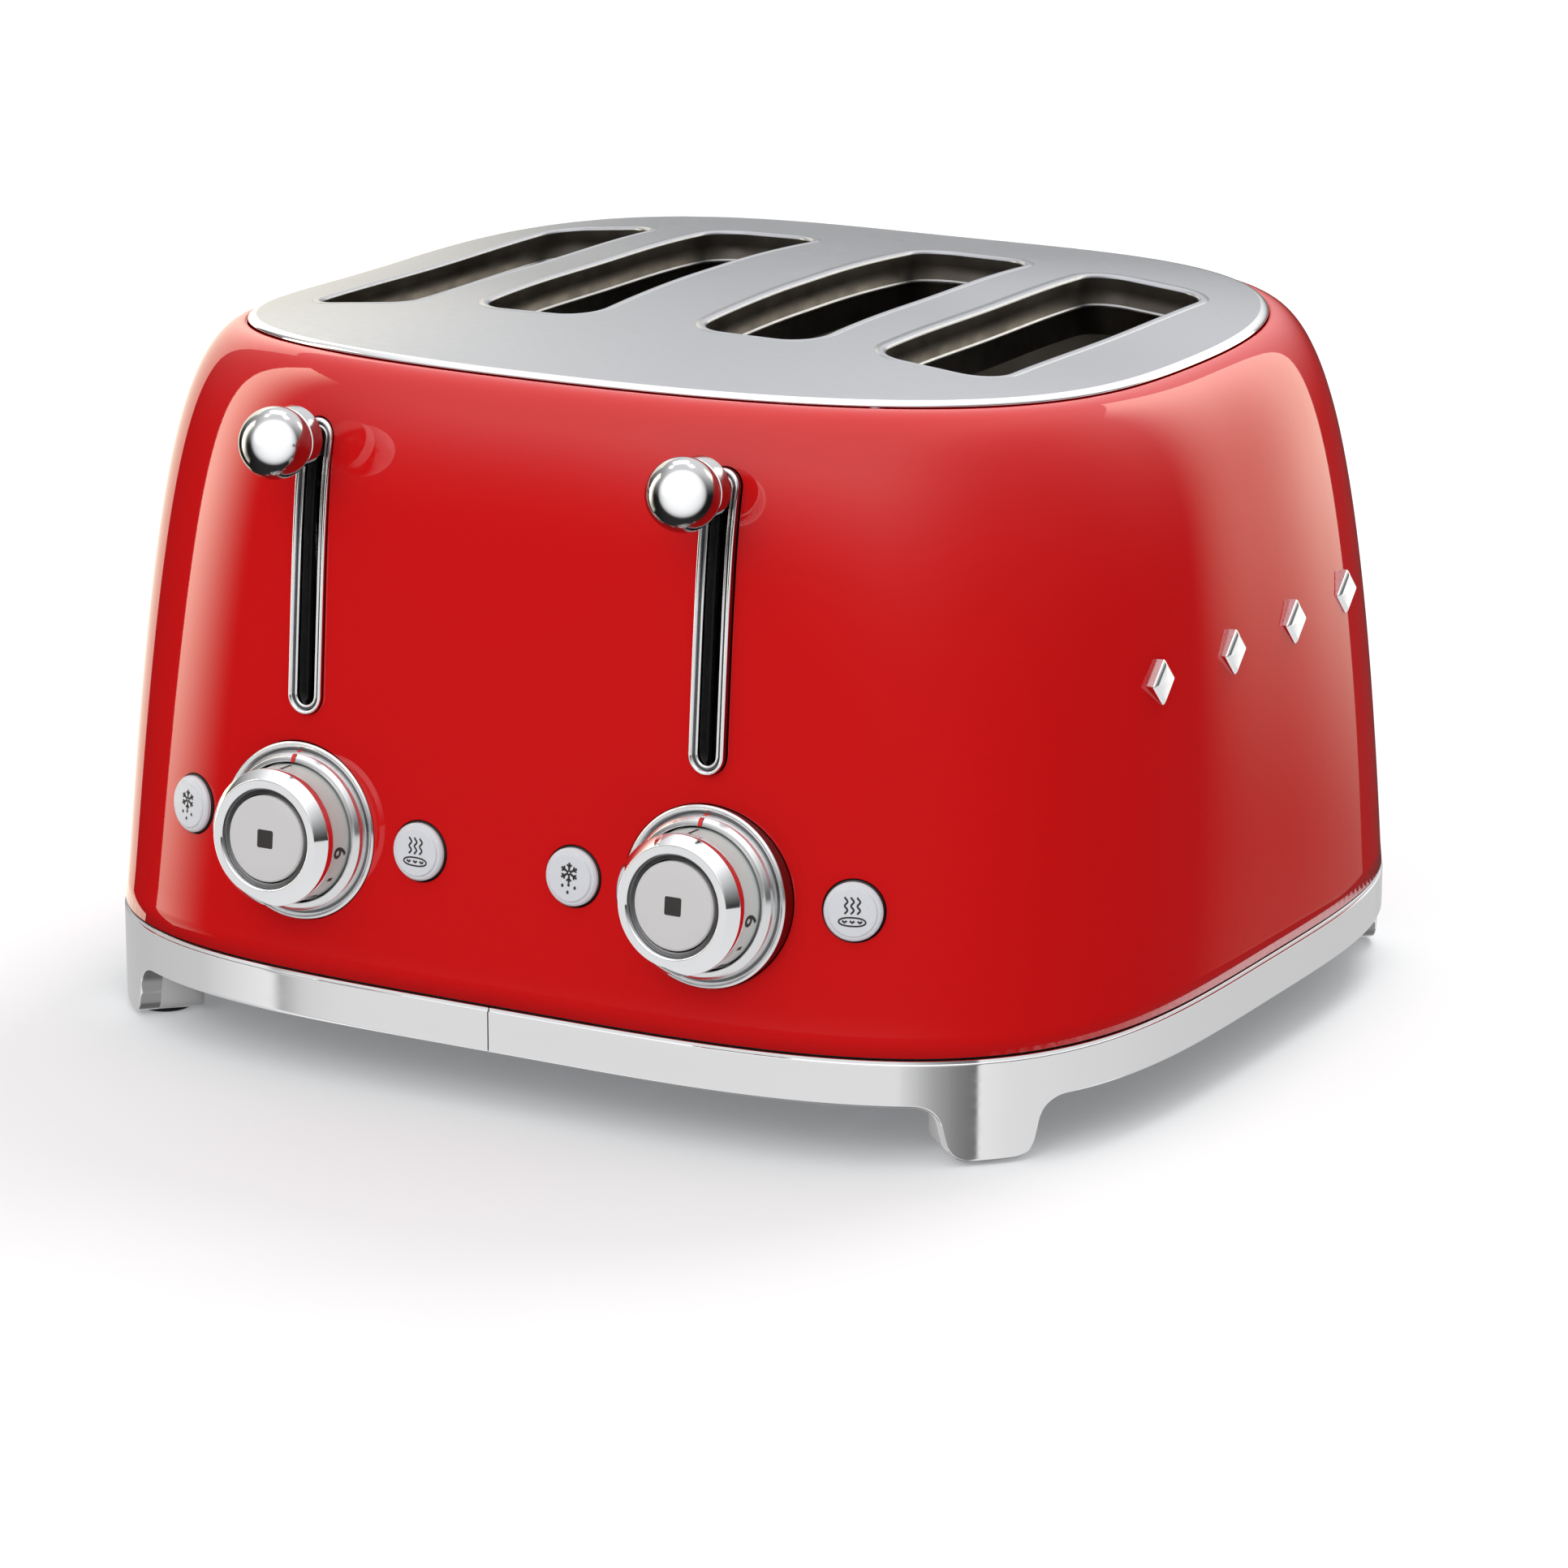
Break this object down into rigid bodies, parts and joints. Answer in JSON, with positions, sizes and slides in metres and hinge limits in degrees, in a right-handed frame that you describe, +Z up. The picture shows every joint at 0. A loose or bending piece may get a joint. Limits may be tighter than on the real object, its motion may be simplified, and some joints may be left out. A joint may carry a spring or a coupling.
{
  "type": "pop-up toaster",
  "caption": "Wide pop-up toaster with a round-shouldered red body, domed steel top with bread slots, chrome levers, browning dials, push buttons and slide-out crumb trays.",
  "frame": {"origin": "centre of the object's footprint box, on the surface that the feet rest on", "axes": "+X to the toaster's right as seen from the front, +Y from the front with the levers to the rear, +Z up"},
  "size_m": [0.3266, 0.3117, 0.206],
  "materials": {
    "red_enamel": "gloss red enamel over pressed steel",
    "satin_steel": "satin steel with a fine grain",
    "black_rubber": "matt black rubber",
    "satin_trim": "satin silver plated casting",
    "zinc_sheet": "plain zinc-plated sheet",
    "polished_chrome": "polished chrome plating",
    "satin_chrome": "satin chrome plating",
    "red_paint": "red pointer paint",
    "mica": "mica board with flat heating ribbon",
    "circuit_board": "green circuit board with black parts",
    "magnet": "laminated core with a wound coil",
    "wire": "bright drawn wire",
    "grey_button": "pale grey moulded plastic",
    "black_plastic": "matt black moulded plastic"
  },
  "bodies": {
    "root": {"outer_shell": "red_enamel", "top_plate": "satin_steel", "slot_frames": "satin_steel", "shell_gasket": "black_rubber", "base_trim_left": "satin_trim", "base_trim_right": "satin_trim", "base_plate": "zinc_sheet", "foot_pads": "black_rubber", "slot_seals": "black_plastic", "dial_pointers": "red_paint", "chassis_front_plate": "zinc_sheet", "chassis_rear_plate": "zinc_sheet", "guide_rods": "wire", "latch_magnets": "magnet", "power_board": "circuit_board", "cord_gland": "black_plastic", "side_ornaments": "polished_chrome", "base_screws": "zinc_sheet", "lever_bezel_left": "polished_chrome", "dial_ring_left": "satin_chrome", "chamber_walls_left": "zinc_sheet", "heater_outer_left": "mica", "heater_middle_left": "mica", "heater_inner_left": "mica", "control_board_left": "circuit_board", "return_spring_left": "wire", "lever_bezel_right": "polished_chrome", "dial_ring_right": "satin_chrome", "chamber_walls_right": "zinc_sheet", "heater_outer_right": "mica", "heater_middle_right": "mica", "heater_inner_right": "mica", "control_board_right": "circuit_board", "return_spring_right": "wire"},
    "lever_left": {"carriage_left": "zinc_sheet", "bread_racks_left": "wire", "lever_knob_left": "polished_chrome"},
    "dial_left": {"dial_left": "polished_chrome", "dial_shaft_left": "zinc_sheet"},
    "stop_button_left": {"stop_button_left": "grey_button"},
    "defrost_button_left": {"defrost_button_left": "grey_button"},
    "reheat_button_left": {"reheat_button_left": "grey_button"},
    "crumb_tray_left": {"crumb_tray_left": "zinc_sheet"},
    "guard_1_left": {"guard_1_left": "wire"},
    "guard_2_left": {"guard_2_left": "wire"},
    "guard_3_left": {"guard_3_left": "wire"},
    "guard_4_left": {"guard_4_left": "wire"},
    "lever_right": {"carriage_right": "zinc_sheet", "bread_racks_right": "wire", "lever_knob_right": "polished_chrome"},
    "dial_right": {"dial_right": "polished_chrome", "dial_shaft_right": "zinc_sheet"},
    "stop_button_right": {"stop_button_right": "grey_button"},
    "defrost_button_right": {"defrost_button_right": "grey_button"},
    "reheat_button_right": {"reheat_button_right": "grey_button"},
    "crumb_tray_right": {"crumb_tray_right": "zinc_sheet"},
    "guard_1_right": {"guard_1_right": "wire"},
    "guard_2_right": {"guard_2_right": "wire"},
    "guard_3_right": {"guard_3_right": "wire"},
    "guard_4_right": {"guard_4_right": "wire"}
  },
  "joints": [
    {"name": "lever_slide_left", "type": "slide", "parent": "root", "child": "lever_left", "axis": [0, 0, -1], "range_m": [0, 0.058], "stiffness_N_per_m": 60, "springref_m": -0.08, "deforming": ["return_spring_left"]},
    {"name": "dial_turn_left", "type": "hinge", "parent": "root", "child": "dial_left", "pos_m": [-0.064, -0.13566, 0.0685], "axis": [0, 0.9954, -0.0958], "range_deg": [0, 262]},
    {"name": "stop_push_left", "type": "slide", "parent": "root", "child": "stop_button_left", "axis": [0, 0.9954, -0.0958], "range_m": [0, 0.002], "stiffness_N_per_m": 500, "springref_m": -0.002},
    {"name": "defrost_push_left", "type": "slide", "parent": "root", "child": "defrost_button_left", "axis": [0.3181, 0.9432, -0.0958], "range_m": [0, 0.0015], "stiffness_N_per_m": 400, "springref_m": -0.002},
    {"name": "reheat_push_left", "type": "slide", "parent": "root", "child": "reheat_button_left", "axis": [0.0067, 0.9954, -0.0958], "range_m": [0, 0.0015], "stiffness_N_per_m": 400, "springref_m": -0.002},
    {"name": "tray_slide_left", "type": "slide", "parent": "root", "child": "crumb_tray_left", "axis": [0, 1, 0], "range_m": [0, 0.16]},
    {"name": "guard_lean_1_left", "type": "hinge", "parent": "root", "child": "guard_1_left", "pos_m": [-0.0526, 0.0064, 0.05], "axis": [0, 1, 0], "range_deg": [0, 4]},
    {"name": "guard_lean_2_left", "type": "hinge", "parent": "root", "child": "guard_2_left", "pos_m": [-0.017, 0.0064, 0.05], "axis": [0, -1, 0], "range_deg": [0, 4]},
    {"name": "guard_lean_3_left", "type": "hinge", "parent": "root", "child": "guard_3_left", "pos_m": [-0.1081, 0.0064, 0.05], "axis": [0, 1, 0], "range_deg": [0, 4]},
    {"name": "guard_lean_4_left", "type": "hinge", "parent": "root", "child": "guard_4_left", "pos_m": [-0.0725, 0.0064, 0.05], "axis": [0, -1, 0], "range_deg": [0, 4]},
    {"name": "lever_slide_right", "type": "slide", "parent": "root", "child": "lever_right", "axis": [0, 0, -1], "range_m": [0, 0.058], "stiffness_N_per_m": 60, "springref_m": -0.08, "deforming": ["return_spring_right"]},
    {"name": "dial_turn_right", "type": "hinge", "parent": "root", "child": "dial_right", "pos_m": [0.064, -0.13566, 0.0685], "axis": [0, 0.9954, -0.0958], "range_deg": [0, 262]},
    {"name": "stop_push_right", "type": "slide", "parent": "root", "child": "stop_button_right", "axis": [0, 0.9954, -0.0958], "range_m": [0, 0.002], "stiffness_N_per_m": 500, "springref_m": -0.002},
    {"name": "defrost_push_right", "type": "slide", "parent": "root", "child": "defrost_button_right", "axis": [-0.0067, 0.9954, -0.0958], "range_m": [0, 0.0015], "stiffness_N_per_m": 400, "springref_m": -0.002},
    {"name": "reheat_push_right", "type": "slide", "parent": "root", "child": "reheat_button_right", "axis": [-0.3181, 0.9432, -0.0958], "range_m": [0, 0.0015], "stiffness_N_per_m": 400, "springref_m": -0.002},
    {"name": "tray_slide_right", "type": "slide", "parent": "root", "child": "crumb_tray_right", "axis": [0, 1, 0], "range_m": [0, 0.16]},
    {"name": "guard_lean_1_right", "type": "hinge", "parent": "root", "child": "guard_1_right", "pos_m": [0.017, 0.0064, 0.05], "axis": [0, 1, 0], "range_deg": [0, 4]},
    {"name": "guard_lean_2_right", "type": "hinge", "parent": "root", "child": "guard_2_right", "pos_m": [0.0526, 0.0064, 0.05], "axis": [0, -1, 0], "range_deg": [0, 4]},
    {"name": "guard_lean_3_right", "type": "hinge", "parent": "root", "child": "guard_3_right", "pos_m": [0.0725, 0.0064, 0.05], "axis": [0, 1, 0], "range_deg": [0, 4]},
    {"name": "guard_lean_4_right", "type": "hinge", "parent": "root", "child": "guard_4_right", "pos_m": [0.1081, 0.0064, 0.05], "axis": [0, -1, 0], "range_deg": [0, 4]}
  ],
  "couplings": [
    {"joint": "guard_lean_1_left", "follows": "lever_slide_left", "rad_per_m": 1.2},
    {"joint": "guard_lean_2_left", "follows": "lever_slide_left", "rad_per_m": 1.2},
    {"joint": "guard_lean_3_left", "follows": "lever_slide_left", "rad_per_m": 1.2},
    {"joint": "guard_lean_4_left", "follows": "lever_slide_left", "rad_per_m": 1.2},
    {"joint": "guard_lean_1_right", "follows": "lever_slide_right", "rad_per_m": 1.2},
    {"joint": "guard_lean_2_right", "follows": "lever_slide_right", "rad_per_m": 1.2},
    {"joint": "guard_lean_3_right", "follows": "lever_slide_right", "rad_per_m": 1.2},
    {"joint": "guard_lean_4_right", "follows": "lever_slide_right", "rad_per_m": 1.2}
  ]
}
